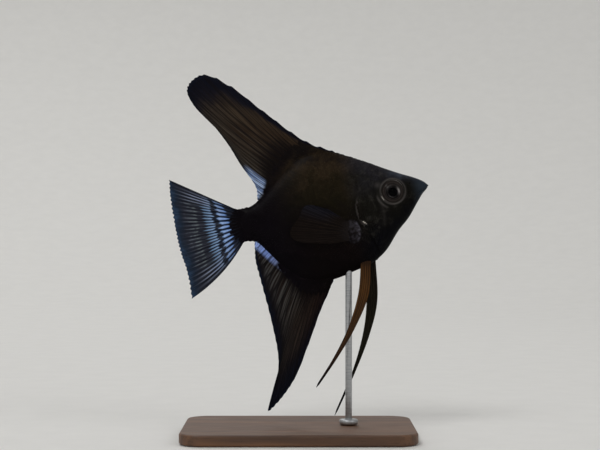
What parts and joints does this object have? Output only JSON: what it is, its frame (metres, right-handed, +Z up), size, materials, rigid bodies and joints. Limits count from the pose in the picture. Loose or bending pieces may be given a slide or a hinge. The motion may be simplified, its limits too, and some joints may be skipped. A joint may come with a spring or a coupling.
{
  "type": "freshwater angelfish (black Pterophyllum scalare) museum model on a display stand",
  "caption": "Life-size still model of a black freshwater angelfish, fins spread, held above a flat wooden base by a slim steel rod.",
  "frame": {"origin": "centre of the display base's underside, which is also the centre of the whole model's length and depth", "axes": "+Z up, +X towards the snout, +Y towards the fish's left side"},
  "size_m": [0.1166, 0.07, 0.1629],
  "materials": {
    "skin": "satin black scaled skin, moist sheen",
    "fin": "black and brown rayed membrane, pale blue bands on the tail fin",
    "eye": "clear cornea over a grey-brown iris and black pupil",
    "stand_wood": "satin oiled walnut",
    "stand_metal": "fine brushed"
  },
  "bodies": {
    "root": {"head": "skin", "lower_jaw": "skin", "gill_cover_right": "skin", "gill_cover_left": "skin", "eye_right": "eye", "eye_left": "eye", "trunk": "skin", "tail_stalk": "skin", "dorsal_fin": "fin", "anal_fin": "fin", "tail_fin": "fin", "pectoral_fin_right": "fin", "pectoral_fin_left": "fin", "pelvic_fin_right": "fin", "pelvic_fin_left": "fin", "stand_base": "stand_wood", "stand_collar": "stand_metal", "stand_rod": "stand_metal"}
  },
  "joints": []
}
